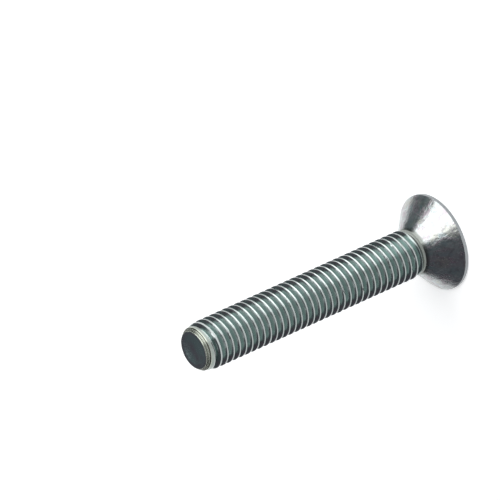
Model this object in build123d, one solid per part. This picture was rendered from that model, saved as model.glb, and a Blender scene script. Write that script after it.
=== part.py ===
from build123d import *
import math
import os

# A countersunk flat-head machine screw, threaded along its whole shank, driven by a
# hexagon socket.  One piece of cold-headed steel.  Millimetres.
# The origin is the middle of the head's flat face and +Z runs down the shank to the point,
# so the screw stands on its head.

# Thread: the shank is modelled over its crests, and the blank that it was rolled from
# shows bare only at the neck
thread_diameter = 8.0         # over the crests
thread_pitch = 1.25
overall_length = 49.5         # flat face to point: a nominal 50, cut within its tolerance

# Head
head_diameter = 16.0
rim_height = 0.65             # straight edge between the flat face and the cone
cone_angle = 90.0             # included angle of the seat
face_edge_radius = 0.15       # softened edge of the flat face
seat_edge_radius = 0.12       # edge between the rim and the cone

# Neck: the bare blank under the cone, where the thread runs out
neck_length = 0.30
neck_fillet = 0.45            # between the cone and the neck
runout_turns = 0.75           # the crests rise from the neck to full height over this many

# Hexagon socket
socket_across_flats = 5.0
socket_depth = 3.50           # full hexagon, below the flat face
socket_mouth_chamfer = 0.13   # the countersunk mouth reaches this far past the corners
socket_mouth_angle = 120.0
socket_point_angle = 120.0    # included angle of the punched bottom
socket_point_clearance = 0.12 # the punched cone is this much smaller than the hexagon

# Point
point_diameter = 6.20         # flat end
point_length = 2.40           # the crests taper down to the point over this
point_chamfer_width = 0.48    # steeper chamfer at the very end, across the radius
point_chamfer_length = 0.60
point_edge_radius = 0.15
taper_edge_radius = 0.30      # between the taper and the chamfer
point_dish_radius = 2.55      # the rolled end is pushed in a little
point_dish_depth = 0.20

# Sizes that follow from the ones above
thread_radius = thread_diameter / 2
head_radius = head_diameter / 2
# A 60 degree thread is rolled from a blank of its pitch diameter, three eighths of the
# sharp thread's height below the crests.
sharp_height = thread_pitch * math.sqrt(3) / 2
neck_radius = thread_radius - sharp_height * 3 / 8
cone_half_tangent = math.tan(math.radians(cone_angle / 2))
cone_end = rim_height + (head_radius - neck_radius) / cone_half_tangent
thread_start = cone_end + neck_length + runout_turns * thread_pitch
point_start = overall_length - point_length
taper_end_radius = point_diameter / 2 + point_chamfer_width
chamfer_start = overall_length - point_chamfer_length
socket_corner_radius = socket_across_flats / math.sqrt(3)
socket_mouth_radius = socket_corner_radius + socket_mouth_chamfer
socket_mouth_depth = socket_mouth_radius / math.tan(math.radians(socket_mouth_angle / 2))
socket_point_radius = socket_across_flats / 2 - socket_point_clearance
socket_point_depth = socket_point_radius / math.tan(math.radians(socket_point_angle / 2))


def blank_outline():
    """Half section of the screw, from the flat face round the rim and down to the point."""
    corners = [
        (0, 0),
        (head_radius, 0),
        (head_radius, rim_height),
        (neck_radius, cone_end),
        (neck_radius, cone_end + neck_length),
        (thread_radius, thread_start),
        (thread_radius, point_start),
        (taper_end_radius, chamfer_start),
        (point_diameter / 2, overall_length),
        (0, overall_length),
    ]
    section = make_face(Polyline(*corners, close=True))
    section = soften(section, head_radius, 0, face_edge_radius)
    section = soften(section, head_radius, rim_height, seat_edge_radius)
    section = soften(section, neck_radius, cone_end, neck_fillet)
    section = soften(section, taper_end_radius, chamfer_start, taper_edge_radius)
    section = soften(section, point_diameter / 2, overall_length, point_edge_radius)
    return section


def soften(section, radius, height, rounding):
    """Rounds the corner of the half section that lies at this radius and height."""
    place = Vector(radius, height)
    corner = min(section.vertices(), key=lambda vertex: (Vector(vertex) - place).length)
    return fillet(corner, radius=rounding)


def turned_blank():
    """The headed and turned body, before the socket is punched.

    The half section is drawn with the radius along X and the height along Y, and stood up.
    """
    return revolve(Plane.XZ * blank_outline(), axis=Axis.Z)


def socket_cavity():
    """What the socket takes out: the hexagon, its chamfered mouth and its conical bottom."""
    with BuildPart() as cavity:
        with BuildSketch(Plane.XY):
            RegularPolygon(radius=socket_corner_radius, side_count=6)
        extrude(amount=socket_depth)
        # A countersink opens the mouth, so the chamfer is widest at the middle of each flat.
        with Locations((0, 0, socket_mouth_depth / 2)):
            Cone(socket_mouth_radius, 0, socket_mouth_depth)
        with Locations((0, 0, socket_depth + socket_point_depth / 2)):
            Cone(socket_point_radius, 0, socket_point_depth)
    return cavity.part


def point_dish():
    """The shallow round hollow in the end of the thread."""
    sphere_radius = (point_dish_radius ** 2 + point_dish_depth ** 2) / (2 * point_dish_depth)
    centre = overall_length - point_dish_depth + sphere_radius
    return Pos(0, 0, centre) * Sphere(sphere_radius)


def screw():
    """The whole screw."""
    return turned_blank() - socket_cavity() - point_dish()


os.makedirs("parts", exist_ok=True)
body = screw()
export_step(body, "parts/screw.step")
print("screw", round(body.volume, 1), "mm3", "thread starts at", round(thread_start, 2))
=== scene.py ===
"""A fully threaded countersunk screw in bright zinc, standing on its head on a white floor.

The screw is one mesh, worked out with numpy: rings carry the head, the hexagon socket and the
point, and a helical grid carries the thread, so its crests and roots are true ridges.
Lengths are in metres in the scene and in millimetres inside the classes that shape the screw.
"""
import logging
import math
from dataclasses import dataclass, field
from enum import Enum
from typing import Dict, List, Optional, Sequence, Tuple

import bpy
import numpy as np
from mathutils import Matrix, Vector


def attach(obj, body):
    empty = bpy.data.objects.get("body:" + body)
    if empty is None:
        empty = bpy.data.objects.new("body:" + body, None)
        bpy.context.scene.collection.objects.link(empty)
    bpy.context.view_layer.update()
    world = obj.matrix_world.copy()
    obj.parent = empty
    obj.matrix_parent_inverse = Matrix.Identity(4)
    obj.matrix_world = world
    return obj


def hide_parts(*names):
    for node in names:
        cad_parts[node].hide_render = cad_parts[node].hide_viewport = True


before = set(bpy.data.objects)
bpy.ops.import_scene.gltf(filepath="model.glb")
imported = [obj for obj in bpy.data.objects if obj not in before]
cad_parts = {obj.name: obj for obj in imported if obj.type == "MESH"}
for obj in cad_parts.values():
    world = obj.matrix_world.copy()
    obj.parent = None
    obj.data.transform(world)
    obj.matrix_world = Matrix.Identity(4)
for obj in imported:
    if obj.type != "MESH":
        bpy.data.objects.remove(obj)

LOG = logging.getLogger("screw")
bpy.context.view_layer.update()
MM = 0.001
Pair = Tuple[float, float]
Colour = Tuple[float, float, float]


def rounded_path(corners: Sequence[Pair], radii: Sequence[float], steps: int) -> np.ndarray:
    """Replaces each inner corner of a polyline by an arc.

    An arc of radius r touches both legs at r * tan(turn / 2) from the corner, and its points
    are the centre plus r times a direction that swings evenly from one leg's normal to the
    other's.

    Args:
        corners: The polyline's points, as (radius, height) or (along, radius).
        radii: One radius for each inner corner, 0 to keep it sharp.
        steps: How many straight pieces each arc has.

    Returns:
        The points of the softened line, one row each.
    """
    points = [np.asarray(p, float) for p in corners]
    path = [points[0][None]]
    for before, corner, after, radius in zip(points[:-2], points[1:-1], points[2:], radii):
        if radius <= 0:
            path.append(corner[None])
            continue
        back = (before - corner) / np.linalg.norm(before - corner)
        ahead = (after - corner) / np.linalg.norm(after - corner)
        half = math.acos(float(np.clip(back @ ahead, -1, 1))) / 2
        middle = (back + ahead) / np.linalg.norm(back + ahead)
        centre = corner + middle * radius / math.sin(half)
        swing = np.linspace(-1, 1, steps + 1) * (math.pi / 2 - half)
        side = ahead - middle * (ahead @ middle)
        side /= np.linalg.norm(side)
        path.append(centre + radius * (-np.cos(swing)[:, None] * middle + np.sin(swing)[:, None] * side))
    path.append(points[-1][None])
    return np.concatenate(path)


def smooth_step(low: float, high: float, value: np.ndarray) -> np.ndarray:
    """Rises from 0 at low to 1 at high as 3t squared less 2t cubed."""
    t = np.clip((value - low) / (high - low), 0, 1)
    return t * t * (3 - 2 * t)


def soft_minimum(first: np.ndarray, second: np.ndarray, blend: float) -> np.ndarray:
    """The smaller of two values, with their crossing rounded over the distance blend."""
    share = np.clip(0.5 + 0.5 * (second - first) / blend, 0, 1)
    return second + (first - second) * share - blend * share * (1 - share)


@dataclass(frozen=True)
class ThreadForm:
    """The section of one turn of a 60 degree metric thread, in millimetres.

    The depth is the standard one, 0.6134 of the pitch. The crests are wider than the basic form,
    chosen so that their highlights have the width that they have on the real screw.
    """

    pitch: float = 1.25
    crest_radius: float = 4.0
    depth: float = 0.767
    crest_half: float = 0.13
    crest_rounding: float = 0.10
    root_rounding: float = 0.08
    flank_degrees: float = 60.0

    @property
    def root_radius(self) -> float:
        """Radius at the bottom of the groove."""
        return self.crest_radius - self.depth

    @property
    def pitch_radius(self) -> float:
        """Radius of the blank that the thread is rolled from, 3/8 of the sharp V below the crest."""
        return self.crest_radius - self.pitch * math.sqrt(3) / 2 * 3 / 8

    def section(self) -> Tuple[np.ndarray, np.ndarray]:
        """One turn's section: a rounded trapezoid whose flanks fall at the flank angle.

        Returns:
            Phases from 0 to just under 1 along the pitch, root to root, and the radius at each.
        """
        half = self.pitch / 2
        foot = self.crest_half + self.depth / math.tan(math.radians(self.flank_degrees))
        flank_mid = (self.crest_half + foot) / 2
        mid_radius = (self.crest_radius + self.root_radius) / 2
        corners = [(-half, self.root_radius), (-foot, self.root_radius), (-flank_mid, mid_radius),
                   (-self.crest_half, self.crest_radius), (self.crest_half, self.crest_radius),
                   (flank_mid, mid_radius), (foot, self.root_radius), (half, self.root_radius)]
        radii = [self.root_rounding, 0, self.crest_rounding, self.crest_rounding, 0, self.root_rounding]
        path = rounded_path(corners, radii, 3)[:-1]
        return (path[:, 0] + half) / self.pitch, path[:, 1]


@dataclass
class Weave:
    """Collects points and faces for one closed mesh; faces may have three or four corners."""

    points: List[np.ndarray] = field(default_factory=list)
    marks: List[np.ndarray] = field(default_factory=list)
    quads: List[np.ndarray] = field(default_factory=list)
    count: int = 0

    def add(self, points: np.ndarray, mark: np.ndarray) -> np.ndarray:
        """Adds points with their crest mark.

        Args:
            points: Rows of x, y, z in millimetres.
            mark: 0 in a groove or on plain metal, 1 on a thread crest, one for each point.

        Returns:
            The index of each new point.
        """
        self.points.append(points)
        self.marks.append(mark)
        self.count += len(points)
        return np.arange(self.count - len(points), self.count)

    def strip(self, lower: np.ndarray, upper: np.ndarray) -> None:
        """Joins two closed rings of point indices with a band of quads."""
        self.quads.append(np.stack([lower, np.roll(lower, -1), np.roll(upper, -1), upper], axis=1))

    def cap(self, ring: np.ndarray, centre: int, upward: bool) -> None:
        """Joins a ring to one middle point with triangles, stored as quads with a double corner."""
        middle = np.full(len(ring), centre)
        after = np.roll(ring, -1)
        order = [ring, after, middle, middle] if upward else [middle, middle, after, ring]
        self.quads.append(np.stack(order, axis=1))

    def mesh(self, name: str) -> bpy.types.Mesh:
        """Writes the collected surface into a mesh, in metres, with its faces outward.

        A quad with a double corner becomes a triangle and one with two double corners goes.
        The signed volume, a sixth of the sum of a . (b x c) over all triangles, says which way
        the faces point.

        Args:
            name: The mesh's name.

        Returns:
            The finished mesh, with a point attribute called crest.
        """
        points = np.concatenate(self.points)
        marks = np.concatenate(self.marks)
        quads = np.concatenate(self.quads)
        keep = quads != np.roll(quads, 1, axis=1)
        full = quads[keep.sum(axis=1) == 4]
        thin = keep.sum(axis=1) == 3
        triangles = quads[thin][keep[thin]].reshape(-1, 3)
        solid = np.concatenate([triangles, full[:, [0, 1, 2]], full[:, [0, 2, 3]]])
        a, b, c = (points[solid[:, k]] for k in range(3))
        volume = float(np.einsum("ij,ij->i", a, np.cross(b, c)).sum() / 6)
        if volume < 0:
            full, triangles = full[:, ::-1], triangles[:, ::-1]
        used, packed = np.unique(np.concatenate([full.ravel(), triangles.ravel()]), return_inverse=True)
        full = packed[:full.size].reshape(full.shape)
        triangles = packed[full.size:].reshape(triangles.shape)
        mesh = bpy.data.meshes.new(name)
        mesh.vertices.add(len(used))
        mesh.vertices.foreach_set("co", (points[used] * MM).astype(np.float32).ravel())
        mesh.loops.add(full.size + triangles.size)
        corners = np.concatenate([full.ravel(), triangles.ravel()])
        mesh.loops.foreach_set("vertex_index", corners.astype(np.int32))
        sizes = np.concatenate([np.full(len(full), 4), np.full(len(triangles), 3)])
        mesh.polygons.add(len(sizes))
        mesh.polygons.foreach_set("loop_start", (np.cumsum(sizes) - sizes).astype(np.int32))
        mesh.polygons.foreach_set("use_smooth", np.ones(len(sizes), bool))
        crest = mesh.attributes.new("crest", "FLOAT", "POINT")
        crest.data.foreach_set("value", marks[used].astype(np.float32))
        mesh.update(calc_edges=True)
        mesh.validate(clean_customdata=False)
        LOG.info("%s: volume %.1f mm3, %d points, %d faces", name, abs(volume), len(used), len(sizes))
        return mesh


@dataclass
class ThreadedScrew:
    """The screw: a countersunk head with a hexagon socket, a neck, the threaded shank and the point.

    Sizes are millimetres. Height runs from the flat face, at 0, to the end of the point.
    """

    thread: ThreadForm = field(default_factory=ThreadForm)
    length: float = 49.5
    head_radius: float = 8.0
    rim_height: float = 0.65
    cone_degrees: float = 90.0
    face_edge: float = 0.15
    seat_edge: float = 0.12
    neck_fillet: float = 0.45
    runout_turns: float = 1.0
    helix_phase: float = 0.35
    fade_from: float = 48.25
    fade_to: float = 48.95
    socket_flats: float = 5.0
    socket_depth: float = 3.50
    socket_mouth: float = 0.13
    socket_mouth_degrees: float = 120.0
    socket_point_degrees: float = 120.0
    socket_point_clearance: float = 0.12
    point_radius: float = 3.10
    point_length: float = 2.40
    chamfer_width: float = 0.48
    chamfer_length: float = 0.60
    point_edge: float = 0.15
    taper_edge: float = 0.30
    dish_radius: float = 2.55
    dish_depth: float = 0.20
    ring_depth: float = 0.06
    columns: int = 120
    ripple: float = 0.0025
    nicks: int = 18
    nick_turns: Pair = (1.5, 34.0)
    nick_widths: Pair = (0.006, 0.022)
    nick_depths: Pair = (0.03, 0.16)
    seed: int = 11

    @property
    def angles(self) -> np.ndarray:
        """The angle of each column round the axis."""
        return np.arange(self.columns) * (2 * math.pi / self.columns)

    @property
    def cone_end(self) -> float:
        """Height at which the cone reaches the neck."""
        fall = self.head_radius - self.thread.pitch_radius
        return self.rim_height + fall / math.tan(math.radians(self.cone_degrees / 2))

    @property
    def grid_start(self) -> float:
        """Height of the ring where the helical grid begins, on the bare neck."""
        return self.cone_end + self.neck_fillet * math.tan(math.radians(self.cone_degrees / 4)) + 0.02

    @property
    def grid_end(self) -> float:
        """Height of the ring where the helical grid ends, where the taper is under the roots."""
        return self.length - self.chamfer_length - 0.16

    def taper(self, height: np.ndarray) -> np.ndarray:
        """Radius of the tapered point: straight from the chamfer's upper radius up to the crests."""
        low = self.point_radius + self.chamfer_width
        run = self.point_length - self.chamfer_length
        slope = (self.thread.crest_radius - low) / run
        return low + (self.length - self.chamfer_length - height) * slope

    def hexagon(self) -> np.ndarray:
        """Radius of the socket's wall at each column: half the flats over cos of the angle to the flat."""
        sixth = math.pi / 3
        off_flat = np.mod(self.angles, sixth) - sixth / 2
        return self.socket_flats / 2 / np.cos(off_flat)

    def ring(self, weave: Weave, radius: np.ndarray, height: np.ndarray) -> np.ndarray:
        """Adds one closed ring of points and returns their indices."""
        radius = np.broadcast_to(radius, (self.columns,))
        height = np.broadcast_to(height, (self.columns,))
        points = np.stack([radius * np.cos(self.angles), radius * np.sin(self.angles), height], axis=1)
        return weave.add(points, np.zeros(self.columns))

    def carry(self, weave: Weave, last: np.ndarray, outline: np.ndarray) -> np.ndarray:
        """Turns an outline of (radius, height) points round the axis, joined to the last ring."""
        for radius, height in outline:
            ring = self.ring(weave, radius, height)
            weave.strip(last, ring)
            last = ring
        return last

    def weave_socket(self, weave: Weave) -> np.ndarray:
        """Weaves the socket from its punched point out to the flat face and returns the mouth's ring."""
        wall = self.hexagon()
        punch = self.socket_flats / 2 - self.socket_point_clearance
        slope = math.tan(math.radians(self.socket_point_degrees / 2))
        tip = self.socket_depth + punch / slope
        centre = int(weave.add(np.array([[0.0, 0.0, tip]]), np.zeros(1))[0])
        ring = self.ring(weave, punch * 0.15, tip - punch * 0.15 / slope)
        weave.cap(ring, centre, upward=False)
        for share in (0.4, 0.7, 1.0):
            radius = punch * share
            nearer = self.ring(weave, radius, tip - radius / slope)
            weave.strip(ring, nearer)
            ring = nearer
        mouth = wall.max() + self.socket_mouth
        lip = (mouth - wall) / math.tan(math.radians(self.socket_mouth_degrees / 2))
        bottom = self.socket_depth
        for share in (0.0, 0.03, 0.25, 0.5, 0.75, 0.97, 1.0):
            nearer = self.ring(weave, wall, bottom + (lip - bottom) * share)
            weave.strip(ring, nearer)
            ring = nearer
        return self.carry(weave, ring, np.array([(mouth, 0.0)]))

    def weave_head(self, weave: Weave, mouth: np.ndarray) -> np.ndarray:
        """Carries the surface over the flat face, round the rim and down the cone to the neck."""
        first = self.socket_flats / math.sqrt(3) + self.socket_mouth
        corners = [(first, 0.0), (self.head_radius, 0.0), (self.head_radius, self.rim_height),
                   (self.thread.pitch_radius, self.cone_end), (self.thread.pitch_radius, self.grid_start)]
        outline = rounded_path(corners, [self.face_edge, self.seat_edge, self.neck_fillet], 5)[1:-1]
        face = np.stack([np.linspace(first, outline[0, 0], 8)[1:-1], np.zeros(6)], axis=1)
        split = 12
        cone_from, cone_to = outline[split - 1], outline[split]
        share = np.linspace(0, 1, 12)[1:-1, None]
        cone = cone_from + (cone_to - cone_from) * share
        return self.carry(weave, mouth, np.concatenate([face, outline[:split], cone, outline[split:]]))

    def crest_wear(self, turn: np.ndarray) -> np.ndarray:
        """How far the crest is pushed in along the thread.

        A slow ripple of three sines, plus nicks: Gaussian dips at seeded places along the helix.

        Args:
            turn: Distance along the thread, counted in turns.

        Returns:
            The loss of radius at each place, in millimetres.
        """
        rng = np.random.default_rng(self.seed)
        loss = self.ripple * (np.sin(turn * 17.3) + np.sin(turn * 41.9 + 1.1) + np.sin(turn * 97.1 + 2.3))
        places = rng.uniform(*self.nick_turns, self.nicks)
        widths = rng.uniform(*self.nick_widths, self.nicks)
        depths = rng.uniform(*self.nick_depths, self.nicks)
        for place, width, depth in zip(places, widths, depths):
            loss = loss + depth * np.exp(-((turn - place) / width) ** 2)
        return np.maximum(loss, -0.004)

    def weave_thread(self, weave: Weave, start: np.ndarray) -> np.ndarray:
        """Weaves the threaded shank as a grid whose rows wind round it once for each pitch.

        Row i at column j has height start + pitch * (turns of i + phase of i + j / columns - 1),
        so the last column's row i meets the first column's row one turn on. The radius is the
        thread's section at that phase, faded in over the run-out and cut by the taper. Rows
        outside the first and last ring are drawn onto them, which closes both ends.

        Args:
            weave: Where the points and faces go.
            start: The ring at the neck.

        Returns:
            The ring where the grid ends, near the point.
        """
        form = self.thread
        phases, section = form.section()
        per_turn = len(phases)
        turns = math.ceil((self.grid_end - self.grid_start) / form.pitch) + 3
        row = np.arange(turns * per_turn)[:, None]
        column = np.arange(self.columns)[None, :]
        along = row // per_turn + phases[row % per_turn] + column / self.columns - 2 + self.helix_phase
        height = self.grid_start + form.pitch * along
        radius = np.broadcast_to(section[row % per_turn], height.shape)
        crest = (radius - form.root_radius) / form.depth
        worn = radius - self.crest_wear(along) * smooth_step(0.55, 1.0, crest)
        grown = smooth_step(self.grid_start, self.grid_start + form.pitch * self.runout_turns, height)
        radius = form.pitch_radius + (worn - form.pitch_radius) * grown
        radius = soft_minimum(radius, self.taper(height), 0.06)
        faded = smooth_step(self.fade_from, self.fade_to, height)
        radius = radius + (self.taper(height) - radius) * faded
        angle = self.angles[None, :]
        points = np.stack([radius * np.cos(angle), radius * np.sin(angle), height], axis=-1)
        end = self.ring(weave, self.taper(np.array(self.grid_end)), self.grid_end)
        new = weave.add(points.reshape(-1, 3), (crest * grown).ravel()).reshape(height.shape)
        ids = np.where(height <= self.grid_start, start[None, :], new)
        ids = np.where(height >= self.grid_end, end[None, :], ids)
        along_rows = ids[:-per_turn - 1]
        above = ids[1:-per_turn]
        beside = np.concatenate([along_rows[:, 1:], ids[per_turn:-1, :1]], axis=1)
        beside_above = np.concatenate([above[:, 1:], ids[per_turn + 1:, :1]], axis=1)
        weave.quads.append(np.stack([along_rows, beside, beside_above, above], axis=-1).reshape(-1, 4))
        return end

    def weave_point(self, weave: Weave, last: np.ndarray) -> None:
        """Chamfers the end, rounds its edges and closes it with a shallow dish, a part of a sphere.

        Three fine rings run round the chamfer, each a dip of half of one less a cosine.
        """
        corners = [(float(self.taper(np.array(self.grid_end))), self.grid_end),
                   (self.point_radius + self.chamfer_width, self.length - self.chamfer_length),
                   (self.point_radius, self.length), (self.dish_radius, self.length)]
        outline = rounded_path(corners, [self.taper_edge, self.point_edge], 5)[1:]
        last = self.carry(weave, last, outline[:6])
        rings = outline[5] + (outline[6] - outline[5]) * np.linspace(0, 1, 26)[1:-1, None]
        dips = 0.5 - 0.5 * np.cos(np.linspace(0, 3 * 2 * math.pi, 26)[1:-1])
        rings[:, 0] -= self.ring_depth * dips
        last = self.carry(weave, last, np.concatenate([rings, outline[6:]]))
        sphere = (self.dish_radius ** 2 + self.dish_depth ** 2) / (2 * self.dish_depth)
        radii = self.dish_radius * np.array([0.85, 0.68, 0.5, 0.33, 0.16])
        heights = self.length - self.dish_depth + sphere - np.sqrt(sphere ** 2 - radii ** 2)
        last = self.carry(weave, last, np.stack([radii, heights], axis=1))
        bottom = np.array([[0.0, 0.0, self.length - self.dish_depth]])
        weave.cap(last, int(weave.add(bottom, np.zeros(1))[0]), upward=True)

    def build(self) -> bpy.types.Object:
        """Builds the whole screw as one closed mesh in the scene and returns its object."""
        weave = Weave()
        neck = self.weave_head(weave, self.weave_socket(weave))
        start = self.carry(weave, neck, np.array([(self.thread.pitch_radius, self.grid_start)]))
        self.weave_point(weave, self.weave_thread(weave, start))
        mesh = weave.mesh("threaded_screw")
        mesh.set_sharp_from_angle(angle=math.radians(38))
        piece = bpy.data.objects.new("threaded_screw", mesh)
        bpy.context.scene.collection.objects.link(piece)
        return piece


class Nodes:
    """Adds shader nodes to a tree in a few words each."""

    def __init__(self, tree: bpy.types.NodeTree) -> None:
        """Empties the tree and keeps it."""
        self.tree = tree
        tree.nodes.clear()

    def add(self, kind: str, values: Optional[Dict[object, object]] = None,
            **settings: object) -> bpy.types.Node:
        """Adds a node, sets its own settings and then its inputs, by value or by link.

        Args:
            kind: The node's type name.
            values: Input name or number to a value, or to another node's output socket.
            settings: Attributes of the node itself, such as its operation.

        Returns:
            The new node.
        """
        node = self.tree.nodes.new(kind)
        for key, value in settings.items():
            setattr(node, key, value)
        for key, value in (values or {}).items():
            if isinstance(value, bpy.types.NodeSocket):
                self.tree.links.new(value, node.inputs[key])
            else:
                node.inputs[key].default_value = value
        return node

    def maths(self, operation: str, *terms: object) -> bpy.types.NodeSocket:
        """Does one sum on numbers or sockets and returns its result."""
        return self.add("ShaderNodeMath", dict(enumerate(terms)), operation=operation).outputs[0]

    def ramp(self, value: bpy.types.NodeSocket, low: float, high: float,
             bottom: float = 0.0, top: float = 1.0) -> bpy.types.NodeSocket:
        """Carries a value from low..high smoothly to bottom..top."""
        node = self.add("ShaderNodeMapRange", {"Value": value, "From Min": low, "From Max": high,
                                               "To Min": bottom, "To Max": top},
                        interpolation_type="SMOOTHSTEP")
        return node.outputs["Result"]

    def mix(self, share: object, first: object, second: object, blend: str = "MIX") -> bpy.types.NodeSocket:
        """Mixes two colours and returns the result."""
        node = self.add("ShaderNodeMix", {"Factor": share}, data_type="RGBA", blend_type=blend)
        for name, value in (("A", first), ("B", second)):
            socket = [s for s in node.inputs if s.name == name and s.type == "RGBA"][0]
            if isinstance(value, bpy.types.NodeSocket):
                self.tree.links.new(value, socket)
            else:
                socket.default_value = (*value, 1.0)
        return [s for s in node.outputs if s.type == "RGBA"][0]


@dataclass(frozen=True)
class BrightZinc:
    """Bright zinc plate on rolled steel.

    It is cool grey, streaked and grained on the cone, darker on the last ridge and turned in fine dark
    rings on the chamfer, with painted shade in the grooves, in the neck and on the rim.
    """

    plate: Colour = (0.50, 0.54, 0.535)
    # Painted shade: the grooves get a darker colour than the crests, where shade falls between the threads.
    groove: Colour = (0.275, 0.35, 0.335)
    crest: Colour = (0.38, 0.41, 0.405)
    last_ridge: Colour = (0.26, 0.29, 0.27)
    violet: Colour = (0.45, 0.40, 0.435)
    olive: Colour = (0.50, 0.51, 0.475)
    teal: Colour = (0.46, 0.53, 0.54)
    dusky: Colour = (0.34, 0.335, 0.345)
    dull: Colour = (0.44, 0.47, 0.41)
    ring: Colour = (0.20, 0.21, 0.17)
    end_face: Colour = (0.35, 0.405, 0.415)
    # Painted shade: the neck under the cone gets a very dark colour.
    neck: Colour = (0.19, 0.205, 0.19)
    flat_face: Colour = (0.36, 0.41, 0.41)
    # Painted shade: the rim, where the head stands on the floor, gets a dark colour.
    rim: Colour = (0.30, 0.315, 0.325)
    roughness: float = 0.15
    grain_mm: float = 0.8
    flat_roughness: float = 0.27
    relief_mm: float = 0.045
    rim_mm: float = 0.66
    cone_mm: float = 4.9
    ridge_mm: float = 48.20
    point_mm: float = 48.68
    ring_mm: float = 0.30
    face_radius_mm: float = 3.0

    def material(self) -> bpy.types.Material:
        """Builds the node material, on object coordinates in metres.

        The streaks are noise on (x / r, y / r, 90 z), which changes faster round the axis than
        along the cone, so they run from the neck to the rim. The height says where the flat
        face, the rim, the cone, the neck, the thread, the last ridge and the chamfer take over
        from each other, and the crest attribute tells the crests from the grooves.
        """
        material = bpy.data.materials.new("bright_zinc")
        material.use_nodes = True
        nodes = Nodes(material.node_tree)
        place = nodes.add("ShaderNodeTexCoord").outputs["Object"]
        crest = nodes.add("ShaderNodeAttribute", attribute_name="crest").outputs["Fac"]
        flat = nodes.add("ShaderNodeVectorMath", {0: place, 1: (1.0, 1.0, 0.0)},
                         operation="MULTIPLY").outputs[0]
        radius = nodes.add("ShaderNodeVectorMath", {0: flat}, operation="LENGTH").outputs["Value"]
        round_axis = nodes.add("ShaderNodeVectorMath", {0: flat}, operation="NORMALIZE").outputs[0]
        slowed = nodes.add("ShaderNodeVectorMath", {0: place, 1: (0.0, 0.0, 90.0)},
                           operation="MULTIPLY").outputs[0]
        along = nodes.add("ShaderNodeVectorMath", {0: round_axis, 1: slowed}, operation="ADD").outputs[0]
        height = nodes.add("ShaderNodeSeparateXYZ", {0: place}).outputs["Z"]
        on_head = nodes.ramp(height, (self.cone_mm - 0.4) * MM, self.cone_mm * MM, 1.0, 0.0)
        streaks = nodes.add("ShaderNodeTexNoise", {"Vector": along, "Scale": 7.0,
                                                   "Detail": 5.0, "Roughness": 0.62})
        clouds = nodes.add("ShaderNodeTexNoise", {"Vector": place, "Scale": 1 / (2.2 * MM), "Detail": 4.0})
        grain = nodes.add("ShaderNodeTexNoise", {"Vector": place, "Scale": 1 / (self.grain_mm * MM),
                                                 "Detail": 4.0, "Roughness": 0.75})
        tint = nodes.mix(nodes.ramp(streaks.outputs["Fac"], 0.50, 0.60), self.plate, self.violet)
        tint = nodes.mix(nodes.ramp(streaks.outputs["Fac"], 0.38, 0.48, 1.0, 0.0), tint, self.teal)
        tint = nodes.mix(nodes.ramp(clouds.outputs["Fac"], 0.55, 0.64), tint, self.olive)
        tint = nodes.mix(nodes.ramp(grain.outputs["Fac"], 0.50, 0.60, 0.0, 0.75), tint, self.dusky)
        # Painted shade in the grooves: this mix runs from the dark groove colour low in the groove to the
        # crest colour on the crests.
        worn = nodes.mix(nodes.ramp(crest, 0.45, 0.95), self.groove, self.crest)
        on_shank = nodes.mix(nodes.ramp(crest, 0.0, 0.02), self.plate, worn)
        at_point = nodes.ramp(height, self.point_mm * MM, (self.point_mm + 0.25) * MM)
        on_face = nodes.ramp(radius, self.face_radius_mm * MM, (self.face_radius_mm + 0.1) * MM, 1.0, 0.0)
        at_neck = nodes.ramp(height, (self.cone_mm + 0.6) * MM, (self.cone_mm + 1.4) * MM, 1.0, 0.0)
        at_ridge = nodes.ramp(height, self.ridge_mm * MM, (self.ridge_mm + 0.2) * MM)
        # Painted shade: the neck colour darkens the shank under the cone, and the last ridge gets its own
        # darker colour.
        on_shank = nodes.mix(at_ridge, nodes.mix(at_neck, on_shank, self.neck), self.last_ridge)
        wave = nodes.maths("SINE", nodes.maths("MULTIPLY", height, 2 * math.pi / (self.ring_mm * MM)))
        chamfer = nodes.mix(nodes.ramp(wave, -0.2, 0.8), self.dull, self.ring)
        end = nodes.mix(on_face, chamfer, self.end_face)
        on_flat = nodes.ramp(height, 0.02 * MM, 0.12 * MM, 1.0, 0.0)
        on_rim = nodes.ramp(height, (self.rim_mm - 0.04) * MM, (self.rim_mm + 0.04) * MM, 1.0, 0.0)
        # Painted shade on the rim: the rim colour darkens the band just above the flat face.
        head = nodes.mix(on_flat, nodes.mix(on_rim, tint, self.rim), self.flat_face)
        colour = nodes.mix(at_point, nodes.mix(on_head, on_shank, head), end)
        rough = nodes.ramp(streaks.outputs["Fac"], 0.35, 0.65, self.roughness - 0.03, self.roughness + 0.07)
        turned = nodes.maths("MULTIPLY", at_point, nodes.maths("SUBTRACT", 1.0, on_face))
        rough = nodes.maths("ADD", rough, nodes.maths("MULTIPLY", turned, 0.06))
        rough = nodes.maths("ADD", rough, nodes.maths("MULTIPLY", at_neck, 0.06))
        push = nodes.maths("ADD", grain.outputs["Fac"], nodes.maths("MULTIPLY", streaks.outputs["Fac"], 0.8))
        even = nodes.maths("SUBTRACT", self.flat_roughness, rough)
        rough = nodes.maths("ADD", rough, nodes.maths("MULTIPLY", even, on_flat))
        relief = nodes.ramp(radius, 4.2 * MM, 4.8 * MM, 0.12, 1.0)
        relief = nodes.maths("MULTIPLY", relief, nodes.ramp(on_flat, 0.0, 1.0, 1.0, 0.12))
        bump = nodes.add("ShaderNodeBump", {"Height": push, "Strength": relief,
                                            "Distance": self.relief_mm * MM})
        shader = nodes.add("ShaderNodeBsdfPrincipled", {"Base Color": colour, "Metallic": 1.0,
                                                        "Roughness": rough, "Normal": bump.outputs["Normal"]})
        nodes.add("ShaderNodeOutputMaterial", {"Surface": shader.outputs["BSDF"]})
        return material


class LampKind(Enum):
    """What a lamp does for the screw."""

    KEY = "key"
    FILL = "fill"
    TABLE = "table"


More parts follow.
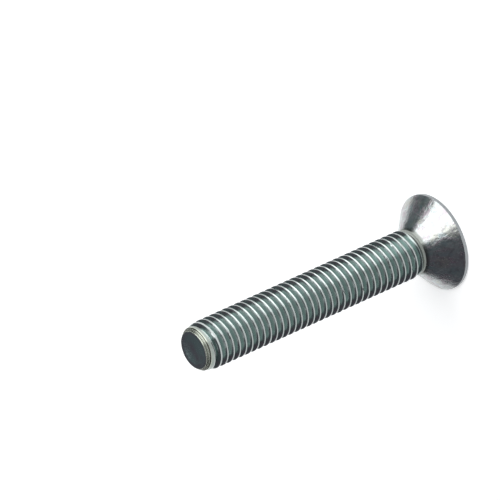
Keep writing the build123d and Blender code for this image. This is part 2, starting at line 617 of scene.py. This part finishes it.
@dataclass(frozen=True)
class SoftBox:
    """A rectangular lamp.

    centre is in metres, faces is the way its light goes, along is the direction of its long
    side, and radiance is how bright its face is, where 1 is white.
    """

    kind: LampKind
    centre: Tuple[float, float, float]
    faces: Tuple[float, float, float]
    along: Tuple[float, float, float]
    length: float
    width: float
    radiance: float

    def place(self) -> bpy.types.Object:
        """Adds the lamp to the scene and returns it; the camera does not see the lamp itself.

        A flat lamp of power W and area A gives a radiance of W / (pi A), so W is the radiance
        times pi times A.
        """
        data = bpy.data.lights.new(self.kind.value, "AREA")
        data.shape = "RECTANGLE"
        data.size, data.size_y = self.length, self.width
        data.energy = self.radiance * math.pi * self.length * self.width
        back = -Vector(self.faces).normalized()
        side = Vector(self.along)
        side = (side - back * side.dot(back)).normalized()
        turn = Matrix((side, back.cross(side), back)).transposed()
        lamp = bpy.data.objects.new(self.kind.value, data)
        lamp.matrix_world = Matrix.Translation(self.centre) @ turn.to_4x4()
        lamp.visible_camera = False
        bpy.context.scene.collection.objects.link(lamp)
        return lamp


@dataclass
class PhotoCamera:
    """The photograph's camera: a long lens, looking down on the standing screw and rolled.

    The pixel sizes are in the photograph's frame of 500 by 500.
    """

    frame_px: float = 500.0
    focal_px: float = 8360.0
    distance: float = 1.3216
    head_px: Pair = (435.56, 240.88)
    lean_degrees: float = 32.62
    shank_direction: Pair = (-0.9131, 0.4078)
    sensor_mm: float = 36.0

    def place(self) -> bpy.types.Object:
        """Creates the camera, so that the flat face's middle lands on head_px and the shank runs
        along shank_direction, coming towards the lens by lean_degrees."""
        lean = math.radians(self.lean_degrees)
        ahead = Vector((0.0, math.cos(lean), -math.sin(lean)))
        rise = Vector((0.0, math.sin(lean), math.cos(lean)))
        level = Vector((1.0, 0.0, 0.0))
        across, down = self.shank_direction
        right = level * -down + rise * across
        below = level * across + rise * down
        half = self.frame_px / 2
        offset = (right * ((self.head_px[0] - half) / self.focal_px)
                  + below * ((self.head_px[1] - half) / self.focal_px) + ahead) * self.distance
        data = bpy.data.cameras.new("photo_camera")
        data.sensor_width = self.sensor_mm
        data.lens = self.focal_px / self.frame_px * self.sensor_mm
        data.clip_start, data.clip_end = 0.05, 50.0
        camera = bpy.data.objects.new("photo_camera", data)
        turn = Matrix((right, -below, -ahead)).transposed()
        camera.matrix_world = Matrix.Translation(-offset) @ turn.to_4x4()
        bpy.context.scene.collection.objects.link(camera)
        bpy.context.scene.camera = camera
        return camera


@dataclass
class Studio:
    """The white floor, the lamps and the dim room around them."""

    floor_radius: float = 0.6
    floor_white: Colour = (0.85, 0.85, 0.85)
    room_dark: Colour = (0.092, 0.095, 0.108)
    room_light: Colour = (0.15, 0.185, 0.19)
    room_violet: Colour = (0.125, 0.090, 0.115)
    room_teal: Colour = (0.085, 0.125, 0.130)
    lamps: Tuple[SoftBox, ...] = (
        SoftBox(LampKind.KEY, (0.352, -0.280, 0.52), (-0.783, 0.622, 0.0), (0.622, 0.783, 0.0),
                0.74, 1.00, 2.5),
        SoftBox(LampKind.FILL, (-0.02, 0.15, 0.48), (0.0, 0.0, -1.0), (0.0, 1.0, 0.0), 0.44, 0.40, 0.8),
        SoftBox(LampKind.TABLE, (0.0433, -0.025, 0.0005), (0.0, 0.0, 1.0), (0.866, -0.5, 0.0),
                0.064, 0.052, 1.75),
    )

    def floor(self) -> bpy.types.Object:
        """A round white floor: its own light is topped up to white, so only the shadow shows."""
        rings, spokes = 24, 96
        radius = np.linspace(0, 1, rings + 1)[1:] ** 1.5 * self.floor_radius
        angle = np.arange(spokes) * 2 * math.pi / spokes
        grid = np.stack([np.outer(radius, np.cos(angle)), np.outer(radius, np.sin(angle)),
                         np.zeros((rings, spokes))], axis=-1).reshape(-1, 3)
        points = np.concatenate([np.zeros((1, 3)), grid])
        ids = 1 + np.arange(rings * spokes).reshape(rings, spokes)
        after = np.roll(ids, -1, axis=1)
        quads = np.stack([ids[:-1], ids[1:], after[1:], after[:-1]], axis=-1).reshape(-1, 4)
        fan = np.stack([np.zeros(spokes, int), ids[0], after[0]], axis=-1)
        mesh = bpy.data.meshes.new("floor")
        mesh.from_pydata(points.tolist(), [], fan.tolist() + quads.tolist())
        floor = bpy.data.objects.new("floor", mesh)
        bpy.context.scene.collection.objects.link(floor)
        mesh.materials.append(self.floor_material())
        return floor

    def floor_material(self) -> bpy.types.Material:
        """White paint, with a glow that rises outwards, where the lamps reach less.

        The camera sees the glow, and so do reflections, so the metal shows the same white floor.
        """
        material = bpy.data.materials.new("white_floor")
        material.use_nodes = True
        nodes = Nodes(material.node_tree)
        place = nodes.add("ShaderNodeTexCoord").outputs["Object"]
        reach = nodes.add("ShaderNodeVectorMath", {0: place}, operation="LENGTH").outputs["Value"]
        path = nodes.add("ShaderNodeLightPath")
        seen = nodes.maths("MAXIMUM", path.outputs["Is Camera Ray"], path.outputs["Is Glossy Ray"])
        seen = nodes.maths("MAXIMUM", seen, path.outputs["Is Transmission Ray"])
        glow = nodes.maths("MULTIPLY", seen, nodes.ramp(reach, 0.03, 0.30, 0.56, 1.0))
        paint = nodes.add("ShaderNodeBsdfDiffuse", {"Color": (*self.floor_white, 1.0)})
        light = nodes.add("ShaderNodeEmission", {"Strength": glow})
        both = nodes.add("ShaderNodeAddShader", {0: paint.outputs[0], 1: light.outputs[0]})
        nodes.add("ShaderNodeOutputMaterial", {"Surface": both.outputs[0]})
        return material

    def room(self) -> None:
        """The world: white below the horizon, where the floor runs on, and a dim room above it.

        The room is darker towards -X and has soft folds of violet and teal in it.
        """
        world = bpy.data.worlds.new("room")
        bpy.context.scene.world = world
        world.use_nodes = True
        nodes = Nodes(world.node_tree)
        view = nodes.add("ShaderNodeTexCoord").outputs["Generated"]
        split = nodes.add("ShaderNodeSeparateXYZ", {0: view})
        above = nodes.ramp(split.outputs["Z"], 0.02, 0.08)
        dim = nodes.mix(nodes.ramp(split.outputs["X"], -0.5, 0.2), self.room_dark, self.room_light)
        drapes = nodes.add("ShaderNodeTexNoise", {"Vector": view, "Scale": 5.5,
                                                  "Detail": 3.0, "Roughness": 0.6})
        fold = drapes.outputs["Fac"]
        dim = nodes.mix(nodes.ramp(fold, 0.50, 0.60), dim, self.room_violet)
        dim = nodes.mix(nodes.ramp(fold, 0.36, 0.46, 1.0, 0.0), dim, self.room_teal)
        colour = nodes.mix(above, (1.0, 1.0, 1.0), dim)
        back = nodes.add("ShaderNodeBackground", {"Color": colour, "Strength": 1.0})
        nodes.add("ShaderNodeOutputWorld", {"Surface": back.outputs[0]})

    def build(self) -> None:
        """Sets up the whole studio."""
        self.room()
        self.floor()
        for lamp in self.lamps:
            lamp.place()
            LOG.info("lamp %s", lamp.kind.value)


def main() -> None:
    """Builds the camera, the screw and the studio, and reports the screw and each lamp."""
    logging.basicConfig(level=logging.INFO, format="%(name)s %(message)s")
    bpy.context.scene.view_settings.view_transform = "Standard"
    PhotoCamera().place()
    screw = ThreadedScrew().build()
    screw.data.materials.append(BrightZinc().material())
    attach(screw, "root")
    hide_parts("screw")
    LOG.info("screw with %d faces", len(screw.data.polygons))
    Studio().build()


if __name__ == "__main__":
    main()
